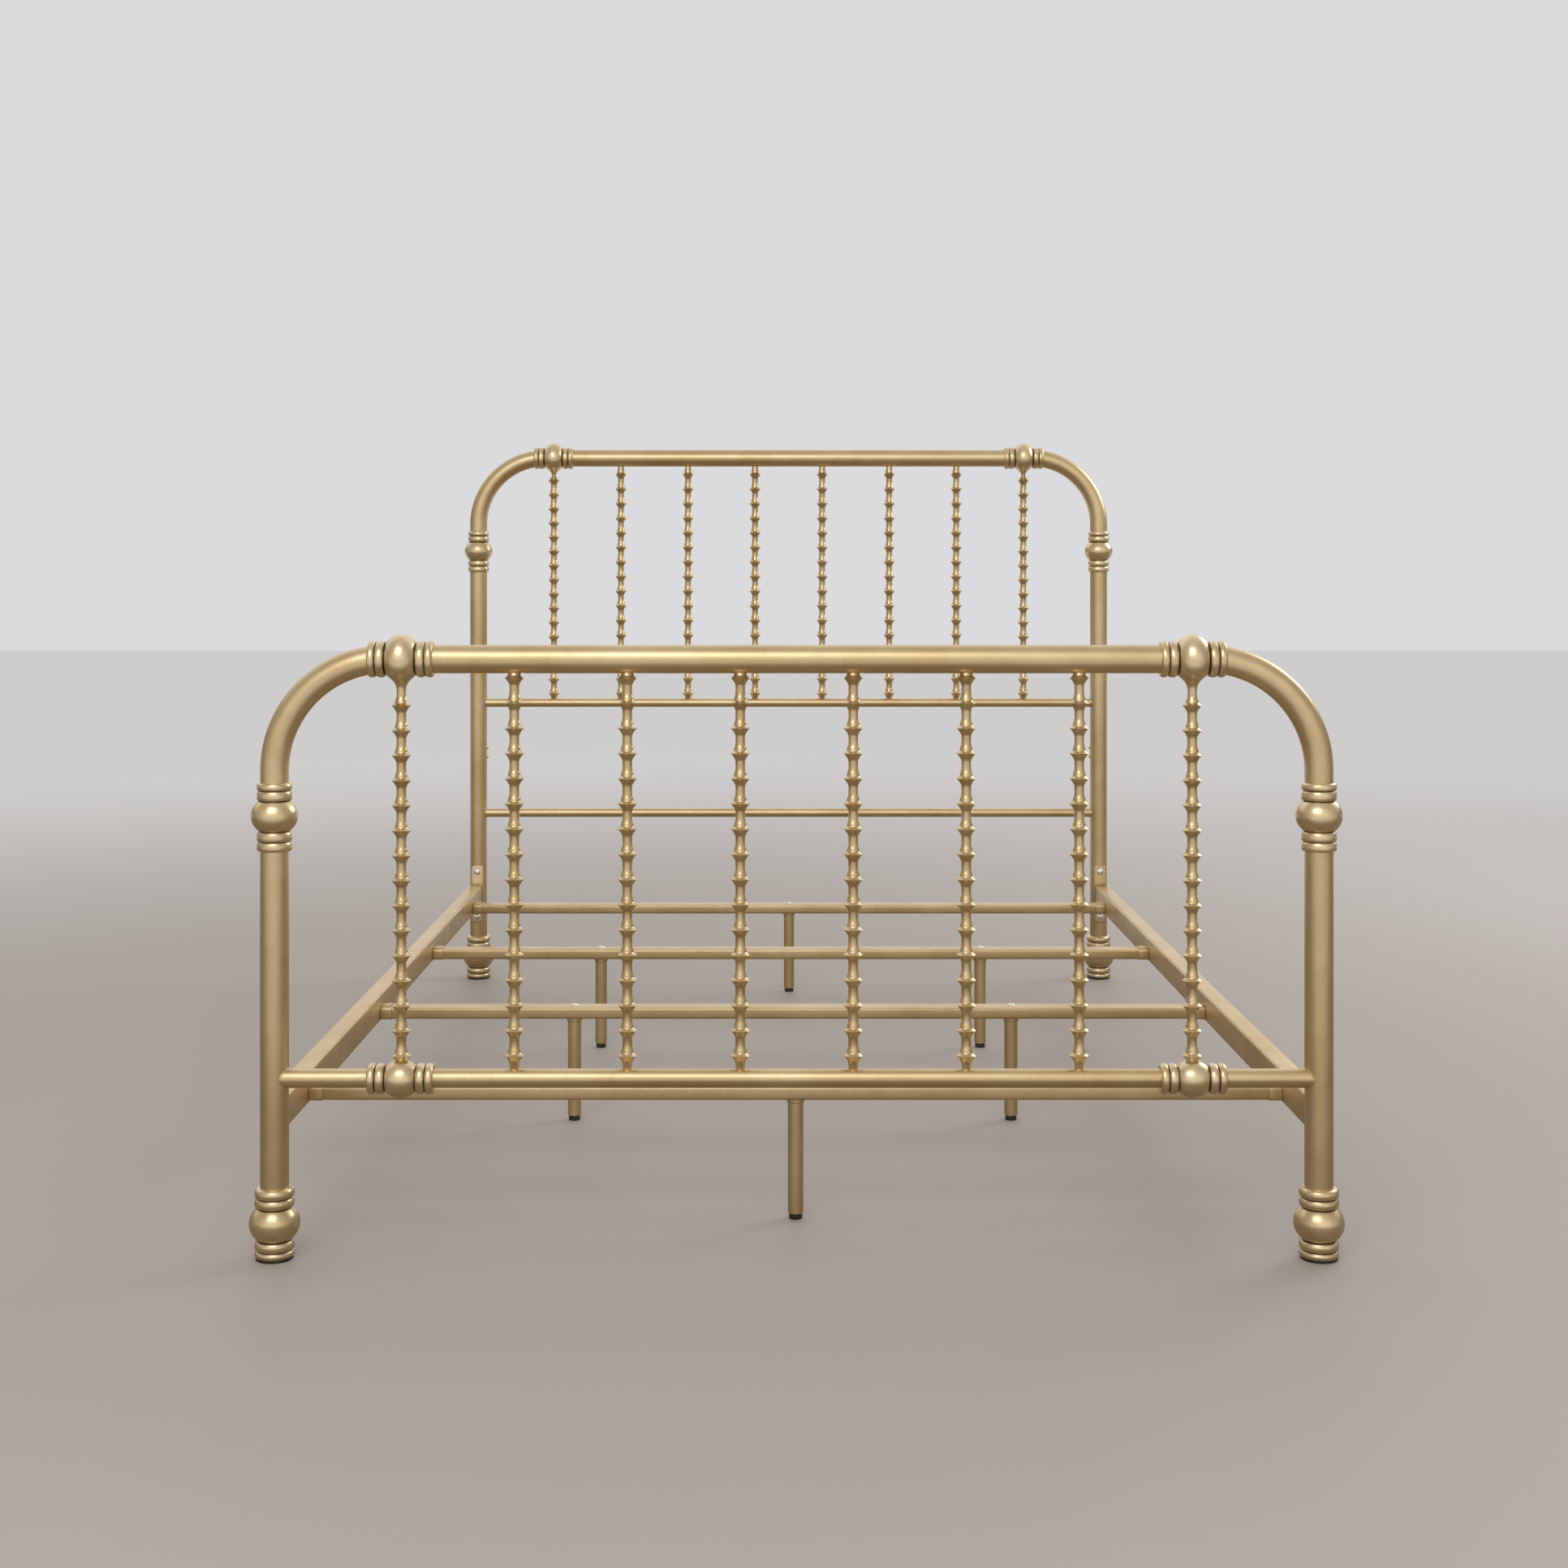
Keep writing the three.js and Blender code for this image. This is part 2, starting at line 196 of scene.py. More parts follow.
def darkPlastic(name):
    material = bpy.data.materials.new(name)
    material.use_nodes = True
    maker = Maker(material.node_tree)
    place = maker.add("ShaderNodeTexCoord", output="Object")
    grain = maker.add("ShaderNodeTexNoise", None, {"Vector": place, "Scale": 900, "Detail": 3})
    scuffs = maker.add("ShaderNodeTexNoise", None, {"Vector": place, "Scale": 60, "Detail": 4})
    tone = maker.mix(maker.ramp(scuffs, ((0.45, 0), (0.75, 1))), linear(34, 31, 28), linear(66, 60, 54))
    bump = maker.add("ShaderNodeBump", None, {"Height": grain, "Distance": 0.0003, "Strength": 0.8})
    shader = maker.add("ShaderNodeBsdfPrincipled", None,
                       {"Base Color": tone, "Roughness": scuffs * 0.25 + 0.42, "Normal": bump})
    maker.add("ShaderNodeOutputMaterial", None, {"Surface": shader})
    return material


goldTube = goldPaint("goldTube", roughness=0.36, cloudScale=7, peel=0.05, flakeDepth=0.006)
goldCasting = goldPaint("goldCasting", roughness=0.29, cloudScale=22, peel=0.06, flakeDepth=0.004,
                        shades=castingPaintedLightValues)
goldSpindle = goldPaint("goldSpindle", roughness=0.29, cloudScale=30, peel=0.05, flakeDepth=0.004)
goldFrame = goldPaint("goldFrame", roughness=0.42, cloudScale=9, peel=0.08, flakeDepth=0.008)
# Near-white bolts: a painted highlight
paintedHighlightBolt = goldPaint("paintedHighlightBolt", roughness=0.27, cloudScale=40, peel=0.03, flakeDepth=0.002,
                     shades=paintedHighlightBoltValues)
glidePlastic = darkPlastic("glidePlastic")
print("finishes made")


# Making and finishing pieces

def finish(name, mesh, material, body="frame", nodes=(), sharp=38):
    mesh.polygons.foreach_set("use_smooth", [True] * len(mesh.polygons))
    mesh.set_sharp_from_angle(angle=radians(sharp))
    mesh.materials.clear()
    mesh.materials.append(material)
    piece = bpy.data.objects.new(name, mesh)
    bpy.context.scene.collection.objects.link(piece)
    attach(piece, body)
    if nodes:
        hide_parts(*nodes)
    return piece


def solidMesh(name, shape):
    bmesh.ops.remove_doubles(shape, verts=shape.verts, dist=1e-6)
    bmesh.ops.recalc_face_normals(shape, faces=shape.faces)
    mesh = bpy.data.meshes.new(name)
    shape.to_mesh(mesh)
    shape.free()
    return mesh


def turn(shape, profile, places, segments=48, capped=True):
    # Spins a profile about the local Z axis and puts one copy at each place. A profile's points are
    # (radius, height), or (half width in X, half width in Y, height) where the section is an ellipse.
    angles = [2 * pi * step / segments for step in range(segments)]
    for place in places:
        rings = []
        for *radii, height in profile:
            if radii[0] == 0:
                ring = [(0, 0, height)]
            else:
                ring = [(radii[0] * cos(angle), radii[-1] * sin(angle), height) for angle in angles]
            rings.append([shape.verts.new(place @ Vector(point)) for point in ring])
        for lower, upper in zip(rings, rings[1:]):
            for step in range(segments):
                following = (step + 1) % segments
                corners = [lower[step % len(lower)], lower[following % len(lower)],
                           upper[following % len(upper)], upper[step % len(upper)]]
                shape.faces.new(list(dict.fromkeys(corners)))
        if capped:
            for ring in (rings[0], rings[-1]):
                if len(ring) > 1:
                    shape.faces.new(ring)


def roundedOutline(width, depth, corner, steps=5):
    points = []
    for quarter, (right, up) in enumerate(((1, 1), (-1, 1), (-1, -1), (1, -1))):
        for step in range(steps + 1):
            angle = (quarter + step / steps) * pi / 2
            points.append((right * (width / 2 - corner) + corner * cos(angle),
                           up * (depth / 2 - corner) + corner * sin(angle)))
    return points


def bar(shape, width, depth, corner, start, end, edge, place):
    # A bar of rounded section along the local Z axis, with its end edges rounded by edge
    rounds = [(edge * (1 - sin(step * pi / 6)), edge * (1 - cos(step * pi / 6))) for step in range(4)]
    stations = [(inset, start + along) for inset, along in rounds]
    stations += [(inset, end - along) for inset, along in reversed(rounds)]
    rings = []
    for inset, height in stations:
        outline = roundedOutline(width - 2 * inset, depth - 2 * inset, max(corner - inset, corner * 0.2))
        rings.append([shape.verts.new(place @ Vector((x, y, height))) for x, y in outline])
    for lower, upper in zip(rings, rings[1:]):
        for step in range(len(lower)):
            following = (step + 1) % len(lower)
            shape.faces.new((lower[step], lower[following], upper[following], upper[step]))
    shape.faces.new(rings[0])
    shape.faces.new(rings[-1])


def upright(x, y, z):
    return Matrix.Translation((x, y, z))


def lengthways(x, y, z):
    # The local Z axis runs along the bed
    return Matrix.Translation((x, y, z)) @ Matrix.Rotation(-pi / 2, 4, "X")


def crossways(x, y, z, sign=1):
    # The local Z axis runs across the bed, to the right where sign is 1
    return Matrix.Translation((x, y, z)) @ Matrix.Rotation(sign * pi / 2, 4, "Y")


def castingPiece(name, shape, node):
    finish(name, solidMesh(name, shape), goldCasting, nodes=[node])


# Geometry trees for what follows a path or repeats

def newTree(name, inputs):
    tree = bpy.data.node_groups.new(name, "GeometryNodeTree")
    tree.interface.new_socket("Geometry", in_out="INPUT", socket_type="NodeSocketGeometry")
    for label, kind in inputs:
        tree.interface.new_socket(label, in_out="INPUT", socket_type=kind)
    tree.interface.new_socket("Geometry", in_out="OUTPUT", socket_type="NodeSocketGeometry")
    maker = Maker(tree)
    group = tree.nodes.new("NodeGroupInput")
    return maker, {socket.name: Wire(maker, socket) for socket in group.outputs if socket.name}


def endTree(maker, geometry, material):
    real = maker.add("GeometryNodeRealizeInstances", None, {"Geometry": geometry})
    painted = maker.add("GeometryNodeSetMaterial", None, {"Geometry": real, "Material": material})
    maker.add("NodeGroupOutput", None, {"Geometry": painted})
    return maker.tree


def tubeTree():
    # Sweeps a round section along the piece's edges, with its corners bent to a radius
    maker, given = newTree("tubeAlongPath", (
        ("Radius", "NodeSocketFloat"), ("Bend Radius", "NodeSocketFloat"), ("Bend Steps", "NodeSocketInt"),
        ("Sides", "NodeSocketInt"), ("Material", "NodeSocketMaterial")))
    path = maker.add("GeometryNodeMeshToCurve", None, {"Mesh": given["Geometry"]})
    bent = maker.add("GeometryNodeFilletCurve", {"mode": "POLY"}, {
        "Curve": path, "Radius": given["Bend Radius"], "Count": given["Bend Steps"]})
    section = maker.add("GeometryNodeCurvePrimitiveCircle", None,
                        {"Resolution": given["Sides"], "Radius": given["Radius"]})
    tube = maker.add("GeometryNodeCurveToMesh", None,
                     {"Curve": bent, "Profile Curve": section, "Fill Caps": True})
    return endTree(maker, tube, given["Material"])


def beadTree():
    # Stacks copies of the piece's own short section upwards and welds them into one
    maker, given = newTree("stackedSections", (
        ("Count", "NodeSocketInt"), ("Pitch", "NodeSocketFloat"), ("Start", "NodeSocketVector"),
        ("Material", "NodeSocketMaterial")))
    step = maker.add("ShaderNodeCombineXYZ", None, {"Z": given["Pitch"]})
    line = maker.add("GeometryNodeMeshLine", {"mode": "OFFSET"}, {
        "Count": given["Count"], "Start Location": given["Start"], "Offset": step})
    stack = maker.add("GeometryNodeInstanceOnPoints", None, {"Points": line, "Instance": given["Geometry"]})
    real = maker.add("GeometryNodeRealizeInstances", None, {"Geometry": stack})
    welded = maker.add("GeometryNodeMergeByDistance", None, {"Geometry": real, "Distance": 0.00002})
    return endTree(maker, welded, given["Material"])


def boltTree():
    # Puts a domed bolt head on a washer at each of the piece's points, all facing one way
    maker, given = newTree("boltHeads", (
        ("Radius", "NodeSocketFloat"), ("Height", "NodeSocketFloat"), ("Facing", "NodeSocketVector"),
        ("Material", "NodeSocketMaterial")))
    dome = maker.add("GeometryNodeMeshUVSphere", None, {"Segments": 24, "Rings": 12, "Radius": 1})
    size = maker.add("ShaderNodeCombineXYZ", None,
                     {"X": given["Radius"], "Y": given["Radius"], "Z": given["Height"]})
    head = maker.add("GeometryNodeTransform", None, {"Geometry": dome, "Scale": size})
    washer = maker.add("GeometryNodeMeshCylinder", None, {
        "Vertices": 28, "Radius": given["Radius"] * 1.2, "Depth": given["Height"] * 0.4})
    both = maker.add("GeometryNodeJoinGeometry", None, {"Geometry": [head, washer]})
    points = maker.add("GeometryNodeMeshToPoints", None, {"Mesh": given["Geometry"]})
    placed = maker.add("GeometryNodeInstanceOnPoints", None, {
        "Points": points, "Instance": both, "Rotation": given["Facing"]})
    return endTree(maker, placed, given["Material"])


def weldTree():
    # Lays an uneven bead of weld along the piece's edges
    maker, given = newTree("weldBead", (
        ("Radius", "NodeSocketFloat"), ("Unevenness", "NodeSocketFloat"), ("Seed", "NodeSocketFloat"),
        ("Material", "NodeSocketMaterial")))
    path = maker.add("GeometryNodeMeshToCurve", None, {"Mesh": given["Geometry"]})
    section = maker.add("GeometryNodeCurvePrimitiveCircle", None,
                        {"Resolution": 8, "Radius": given["Radius"]})
    bead = maker.add("GeometryNodeCurveToMesh", None, {"Curve": path, "Profile Curve": section})
    noise = maker.add("ShaderNodeTexNoise", {"noise_dimensions": "4D"}, {"W": given["Seed"], "Scale": 260})
    normal = maker.add("GeometryNodeInputNormal")
    push = maker.add("ShaderNodeVectorMath", {"operation": "SCALE"}, {
        "Vector": normal, "Scale": (noise - 0.5) * given["Unevenness"]})
    rough = maker.add("GeometryNodeSetPosition", None, {"Geometry": bead, "Offset": push})
    return endTree(maker, rough, given["Material"])


trees = {"tube": tubeTree(), "stack": beadTree(), "bolt": boltTree(), "weld": weldTree()}
print("geometry trees made:", ", ".join(trees))


def grow(seed, tree, **values):
    # Runs a tree on a seed mesh and returns the plain mesh that it makes
    holder = bpy.data.objects.new(seed.name, seed)
    bpy.context.scene.collection.objects.link(holder)
    modifier = holder.modifiers.new(tree.name, "NODES")
    modifier.node_group = tree
    for socket in tree.interface.items_tree:
        if socket.in_out == "INPUT" and socket.name.replace(" ", "") in values:
            modifier[socket.identifier] = values[socket.name.replace(" ", "")]
    bpy.context.view_layer.update()
    made = bpy.data.meshes.new_from_object(holder.evaluated_get(bpy.context.evaluated_depsgraph_get()))
    bpy.data.objects.remove(holder)
    made.name = seed.name
    return made


def pathMesh(name, *paths, closed=False):
    points = []
    edges = []
    for path in paths:
        first = len(points)
        points += path
        edges += [(first + step, first + step + 1) for step in range(len(path) - 1)]
        if closed:
            edges.append((len(points) - 1, first))
    mesh = bpy.data.meshes.new(name)
    mesh.from_pydata([tuple(point) for point in points], edges, [])
    return mesh


def tubePiece(name, path, radius, material, nodes, bend=0.0, sides=40):
    mesh = grow(pathMesh(name, path), trees["tube"], Radius=radius, BendRadius=bend, BendSteps=24,
                Sides=sides, Material=material)
    shape = bmesh.new()
    shape.from_mesh(mesh)
    return finish(name, solidMesh(name, shape), material, nodes=nodes)


# Posts and arches

arch = {"bendRadius": 0.150, "sides": 48}


def makeBoardTubes(board):
    y = middle(board + "_post_left").y
    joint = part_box(board + "_arch")[0].z
    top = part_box(board + "_arch")[1].z - tubeRadius
    for side, sign in sides.items():
        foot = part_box(f"{board}_post_{side}")[0].z
        tubePiece(f"{board}_post_{side}_tube", [(sign * postX, y, foot), (sign * postX, y, joint - 0.001)],
                  tubeRadius, goldTube, [f"{board}_post_{side}"], sides=arch["sides"])
    corners = [(-postX, y, joint), (-postX, y, top), (postX, y, top), (postX, y, joint)]
    tubePiece(board + "_arch_tube", corners, tubeRadius, goldTube, [board + "_arch"],
              bend=arch["bendRadius"], sides=arch["sides"])
    return y, top


boards = {name: makeBoardTubes(name) for name in ("headboard", "footboard")}
print("posts and arches made")


# Turned castings: each is a row of rings and a ball along a tube

castings = {  # rings are widths from the lower end up, and lift moves a casting up its post
    "mid": {"rings": (0.0128, 0.0135, 0.0136, 0.0100), "ring": 0.0236, "groove": 0.0203,
            "ball": 0.0312, "ballWidth": 0.0412, "lift": 0.0020},
    "top": {"rings": (0.0106, 0.0124, 0.0124, 0.0106), "ring": 0.0247, "groove": 0.0210,
            "ball": 0.0341, "ballWidth": 0.0415, "lift": 0},
    "foot": {"rings": (0.0100, 0.0129, 0.0129, 0.0128), "ring": 0.0264, "groove": 0.0222,
             "ball": 0.0337, "ballWidth": 0.0439, "lift": 0.0030},
    "rail": {"rings": (0.0108, 0.0125, 0.0125, 0.0108), "ring": 0.0206, "groove": 0.0165,
             "ball": 0.0250, "ballWidth": 0.0415, "lift": 0},
}


def ringPoints(start, end, low, high, sag=0.0, steps=10):
    # A half-round ring, whose widest place sags below its middle
    half = (end - start) / 2
    return [
        (low + (high - low) * sin(pi * step / steps) ** 0.9,
         start + half * (1 - cos(pi * step / steps)) - sag * half * sin(pi * step / steps))
        for step in range(steps + 1)
    ]


def ballPoints(start, end, low, high, steps=20):
    # The middle of an ellipse that comes down to the groove at both ends
    reach = acos(low / high)
    half = (end - start) / 2
    return [
        (high * cos(reach * (2 * step / steps - 1)),
         start + half + half * sin(reach * (2 * step / steps - 1)) / sin(reach))
        for step in range(steps + 1)
    ]


ballIndex = 2  # a casting's ball comes after its two lower rings
seatShare = 0.9  # how far a casting reaches in to its tube, as a share of the tube's radius
railSeatShare = 0.6  # the same on the lower rail, as a share of the groove's radius


def castingPoints(style, sag=0.0):
    # The whole outside of a casting, from its lower end up, centred on its length
    groove, ring = style["groove"], style["ring"]
    widths = [*style["rings"][:2], style["ballWidth"], *style["rings"][2:]]
    edges = [style["lift"] - sum(widths) / 2]
    for width in widths:
        edges.append(edges[-1] + width)
    points = []
    for index, (start, end) in enumerate(zip(edges, edges[1:])):
        if index == ballIndex:
            points += ballPoints(start, end, groove, style["ball"])
        else:
            points += ringPoints(start, end, groove, ring, sag)
    return points


def tidyPoints(points):
    # Leaves out a point that repeats the one before it
    kept = points[:1]
    for point in points[1:]:
        if max(abs(point[0] - kept[-1][0]), abs(point[1] - kept[-1][1])) > 1e-6:
            kept.append(point)
    return kept


def closedCasting(points, inside):
    # Ends that run in to the tube, so that the casting is a closed turned solid
    bottom, top = points[0][1], points[-1][1]
    return tidyPoints([(0, bottom), (inside, bottom), *points, (inside, top), (0, top)])


def makeMidCollars():
    points = closedCasting(castingPoints(castings["mid"], sag=0.18), tubeRadius * seatShare)
    for board, (y, _) in boards.items():
        for side, sign in sides.items():
            node = f"{board}_mid_collar_{side}"
            shape = bmesh.new()
            turn(shape, points, [upright(sign * postX, y, middle(node).z)])
            castingPiece(node + "_casting", shape, node)


# The drop under a top collar's ball: half its width across and along the bed, and its height
# from the tube's centre. The last row is where the spindle takes over.
drops = {
    "footboard": ((0.0225, 0.0282, -0.0182), (0.0208, 0.0262, -0.0205), (0.0180, 0.0228, -0.0230),
                  (0.0150, 0.0186, -0.0255), (0.0123, 0.0146, -0.0280), (0.0101, 0.0113, -0.0305),
                  (0.0084, 0.0089, -0.0330), (0.0073, 0.0074, -0.0358), (0.0066, 0.0066, -0.0390),
                  (0.0064, 0.0064, -0.0430), (0.0064, 0.0064, -0.0500)),
    "headboard": ((0.0225, 0.0282, -0.0182), (0.0208, 0.0262, -0.0205), (0.0176, 0.0226, -0.0230),
                  (0.0143, 0.0180, -0.0255), (0.0112, 0.0136, -0.0280), (0.0086, 0.0099, -0.0305),
                  (0.0066, 0.0072, -0.0330), (0.0054, 0.0056, -0.0356), (0.0049, 0.0049, -0.0385),
                  (0.0049, 0.0049, -0.0415)),
}


def knobRows(style, drop, steps=14):
    # An egg that is wide along the tube's section, down to where the drop starts
    ball = style["ball"]
    reach = style["ballWidth"] / 2 / sqrt(1 - (style["groove"] / ball) ** 2)
    lowest = acos(drop[0][2] / ball)
    angles = [lowest * step / steps for step in range(1, steps)]
    return [(reach * sin(angle), ball * sin(angle), ball * cos(angle)) for angle in angles] + list(drop)


def makeTopCollars():
    style = castings["top"]
    ballEnd = style["ballWidth"] / 2
    outline = [(radius, height) for radius, height in castingPoints(style) if abs(height) > ballEnd - 0.0001]
    points = closedCasting(outline, tubeRadius * seatShare)
    for board, (y, top) in boards.items():
        for side in sides:
            node = f"{board}_top_collar_{side}"
            x = middle(node).x
            shape = bmesh.new()
            turn(shape, points, [crossways(x, y, top)])
            turn(shape, [(0, style["ball"]), *knobRows(style, drops[board]), (0, drops[board][-1][2])],
                 [upright(x, y, top)])
            castingPiece(node + "_casting", shape, node)


footing = {"padRadius": 0.0248, "padEdge": 0.0008, "padOverlap": 0.0015}


def makeFeet():
    style = castings["foot"]
    points = closedCasting(castingPoints(style, sag=0.15), tubeRadius * seatShare)
    rise = style["lift"] - points[0][1]  # the casting stands on the pad
    raised = [(across, height + rise) for across, height in points]
    padTop = style["lift"] + footing["padOverlap"]
    radius, edge = footing["padRadius"], footing["padEdge"]
    pad = [(0, 0), (radius - edge, 0), (radius, edge), (radius, padTop), (0, padTop)]
    for board, (y, _) in boards.items():
        for side, sign in sides.items():
            node = f"{board}_foot_{side}"
            shape = bmesh.new()
            turn(shape, raised, [upright(sign * postX, y, 0)])
            castingPiece(node + "_casting", shape, node)
            shape = bmesh.new()
            turn(shape, pad, [upright(sign * postX, y, 0)])
            finish(node + "_pad", solidMesh(node + "_pad", shape), glidePlastic)


# The small drop under a lower collar's ball, as (radius, height from the rail's centre)
nib = ((0, -0.0275), (0.0030, -0.0270), (0.0062, -0.0245), (0.0100, -0.0220), (0, -0.0200))


def makeRailCollars():
    points = closedCasting(castingPoints(castings["rail"]), castings["rail"]["groove"] * railSeatShare)
    for side in sides:
        node = f"footboard_lower_collar_{side}"
        place = middle(node)
        shape = bmesh.new()
        turn(shape, points, [crossways(*place)])
        turn(shape, nib, [upright(*place)], segments=24)
        castingPiece(node + "_casting", shape, node)


makeMidCollars()
makeTopCollars()
makeFeet()
makeRailCollars()
print("castings made")


# Cross rails, each welded to the posts

# How far short of a post's axis a rail stops
railEnds = {"headboard_upper_rail": 0.014, "headboard_lower_rail": 0.014, "footboard_lower_rail": 0.0095}


def makeCrossRails():
    for node, gap in railEnds.items():
        place = middle(node)
        radius = span(node).z / 2
        reach = postX - gap
        tubePiece(node + "_tube", [(-reach, place.y, place.z), (reach, place.y, place.z)], radius,
                  goldTube, [node], sides=32)


makeCrossRails()
print("cross rails made")


# Beaded spindles

bead = {
    "flange": 0.0130,  # radius of the sharp edge
    "rim": 0.0007,  # how far the edge is rounded over
    "waist": 0.0066,
    "swell": 0.0086,  # radius of the swelling above the edge
    "drop": 0.0104,  # edge down to the waist
    "cove": 0.0046,  # edge up to the swelling
    "rise": 0.0132,  # edge up to the waist
    "sides": 24,
}

spindles = {  # beads, first flange below the top tube's centre, last flange above the rail's centre
    "headboard": {"rail": "headboard_upper_rail",
                  "middle": (16, 0.0365, 0.0215), "end": (16, 0.0500, 0.0215)},
    "footboard": {"rail": "footboard_lower_rail",
                  "middle": (16, 0.0250, 0.0300), "end": (15, 0.0620, 0.0300)},
}

spindleEnds = {
    "intoDrop": 0.001,  # an end spindle's head inside the drop above it
    "intoTube": 0.004,  # a middle spindle's head inside the top tube
    "intoRail": 0.003,
    "intoBall": 0.002,
    "neckShare": 0.97,  # an end spindle's neck, as a share of the drop's tip
    "tailShare": 0.88,  # the closing ring at the foot, as a share of the ring above it
}


def beadUnder(flange, steps=6):
    # From the waist up to the edge
    waist, reach = bead["waist"], bead["flange"] - bead["waist"]
    points = [(waist + reach * (step / steps) ** 1.5, flange - bead["drop"] * (1 - step / steps))
              for step in range(steps)]
    return points + [(bead["flange"] - bead["rim"] * 0.4, flange - bead["rim"]), (bead["flange"], flange)]


def beadOver(flange, rise=bead["rise"], waist=bead["waist"], steps=5):
    # From the edge up over the swelling to the waist, or to a neck of another size
    start, reach = bead["rim"], bead["flange"] - bead["rim"] - bead["swell"]
    points = [(bead["swell"] + reach * (1 - step / steps) ** 1.7,
               flange + start + (bead["cove"] - start) * step / steps) for step in range(steps)]
    return points + [(waist + (bead["swell"] - waist) * (1 + cos(pi * step / steps)) / 2,
                      flange + bead["cove"] + (rise - bead["cove"]) * step / steps)
                     for step in range(steps + 1)]


def beadSection(name, points):
    section = bmesh.new()
    turn(section, tidyPoints(points), [Matrix()], segments=bead["sides"], capped=False)
    mesh = bpy.data.meshes.new(name)
    section.to_mesh(mesh)
    section.free()
    return mesh


def makeSpindle(board, index, style, head, tail):
    top = boards[board][1]
    node = f"{board}_spindle_{index}"
    name = node + "_turning"
    place = middle(node)
    count, firstDrop, lastRise = style
    first = top - firstDrop
    last = middle(spindles[board]["rail"]).z + lastRise
    pitch = (first - last) / (count - 1)
    seed = beadSection(name, beadUnder(0) + beadOver(0) + [(bead["waist"], pitch - bead["drop"])])
    run = grow(seed, trees["stack"], Count=count - 2, Pitch=pitch,
               Start=(place.x, place.y, last + pitch), Material=goldSpindle)
    shape = bmesh.new()
    shape.from_mesh(run)
    over = beadOver(first)
    if head - first < bead["rise"]:
        tip = drops[board][-1][0] * spindleEnds["neckShare"]
        neck = bead["waist"] if head > top - tubeRadius else tip
        over = beadOver(first, rise=head - first, waist=neck)
    upper = beadUnder(first) + over + [(over[-1][0], head), (0, head)]
    under = [point for point in beadUnder(last) if point[1] > tail]
    lower = [(0, tail), (under[0][0] * spindleEnds["tailShare"], tail), *under]
    lower += beadOver(last) + [(bead["waist"], last + pitch - bead["drop"])]
    for points in (tidyPoints(upper), tidyPoints(lower)):
        turn(shape, points, [upright(place.x, place.y, 0)], segments=bead["sides"], capped=False)
    bmesh.ops.remove_doubles(shape, verts=shape.verts, dist=0.00002)
    finish(name, solidMesh(name, shape), goldSpindle, nodes=[node], sharp=50)


def makeSpindles():
    for board, (_, top) in boards.items():
        rail = spindles[board]["rail"]
        railZ = middle(rail).z
        for index in range(1, 9):
            isEnd = index in (1, 8)
            if isEnd:
                head = top + drops[board][-1][2] + spindleEnds["intoDrop"]
            else:
                head = top - tubeRadius + spindleEnds["intoTube"]
            tail = railZ + span(rail).z / 2 - spindleEnds["intoRail"]
            if isEnd and board == "footboard":
                tail = railZ + castings["rail"]["ball"] - spindleEnds["intoBall"]
            makeSpindle(board, index, spindles[board]["end" if isEnd else "middle"], head, tail)


makeSpindles()
print("spindles made")


# Side rails with their bolted end plates

sideRail = {
    "width": 0.030,
    "corner": 0.0045,
    "top": 0.212,
    "bottom": 0.167,
    "insideOffset": 0.011,  # post's axis to the rail's inner face
    "endInset": 0.002,  # the rail stops this far short of the plates' outer faces
    "endRounding": 0.0005,
    "plateWidth": 0.027,
    "plateThickness": 0.004,
    "plateCorner": 0.006,
    "plateRounding": 0.0012,
    "boltSpacing": 0.101,
}


def makeSideRails():
    depth = sideRail["top"] - sideRail["bottom"]
    railZ = (sideRail["top"] + sideRail["bottom"]) / 2
    for side, sign in sides.items():
        node = f"side_rail_{side}"
        low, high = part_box(node)
        plateX = sign * postX
        railX = plateX + sign * (sideRail["width"] / 2 - sideRail["insideOffset"])
        shape = bmesh.new()
        bar(shape, sideRail["width"], depth, sideRail["corner"], low.y + sideRail["endInset"],
            high.y - sideRail["endInset"], sideRail["endRounding"], lengthways(railX, 0, railZ))
        for end in (-1, 1):
            outer = low.y if end < 0 else high.y
            start, stop = sorted((outer, outer - end * sideRail["plateThickness"]))
            bar(shape, sideRail["plateWidth"], high.z - low.z, sideRail["plateCorner"], start, stop,
                sideRail["plateRounding"], lengthways(plateX, 0, (high.z + low.z) / 2))
        finish(node + "_welded", solidMesh(node + "_welded", shape), goldFrame, nodes=[node])


makeSideRails()
print("side rails made")


# Slats, support legs and glides

slat = {
    "corner": 0.004,
    "rounding": 0.0006,
    "sleeveLength": 0.019,
    "sleeveWall": 0.0009,
    "sleeveRounding": 0.0010,
    "tabLength": 0.016,
    "tabWidth": 0.026,
    "tabThickness": 0.0018,
    "tabCorner": 0.0012,
    "tabRounding": 0.0008,
    "tabSunk": 0.0004,  # into the sleeve
}


def makeSlats():
    for index in range(1, 5):
        node = f"slat_{index}"
        low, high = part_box(node)
        place = middle(node)
        size = high - low
        wall = slat["sleeveWall"]
        tabZ = high.z + wall + slat["tabThickness"] / 2 - slat["tabSunk"]
        shape = bmesh.new()
        at = crossways(0, place.y, place.z)
        bar(shape, size.z, size.y, slat["corner"], low.x, high.x, slat["rounding"], at)
        for sign in (-1, 1):
            ends = sorted((sign * high.x, sign * (high.x - slat["sleeveLength"])))
            bar(shape, size.z + 2 * wall, size.y + 2 * wall, slat["corner"] + wall, *ends,
                slat["sleeveRounding"], at)
            tabs = sorted((sign * high.x, sign * (high.x - slat["tabLength"])))
            bar(shape, slat["tabThickness"], slat["tabWidth"], slat["tabCorner"], *tabs,
                slat["tabRounding"], crossways(0, place.y, tabZ))
        finish(node + "_bar", solidMesh(node + "_bar", shape), goldFrame, nodes=[node])


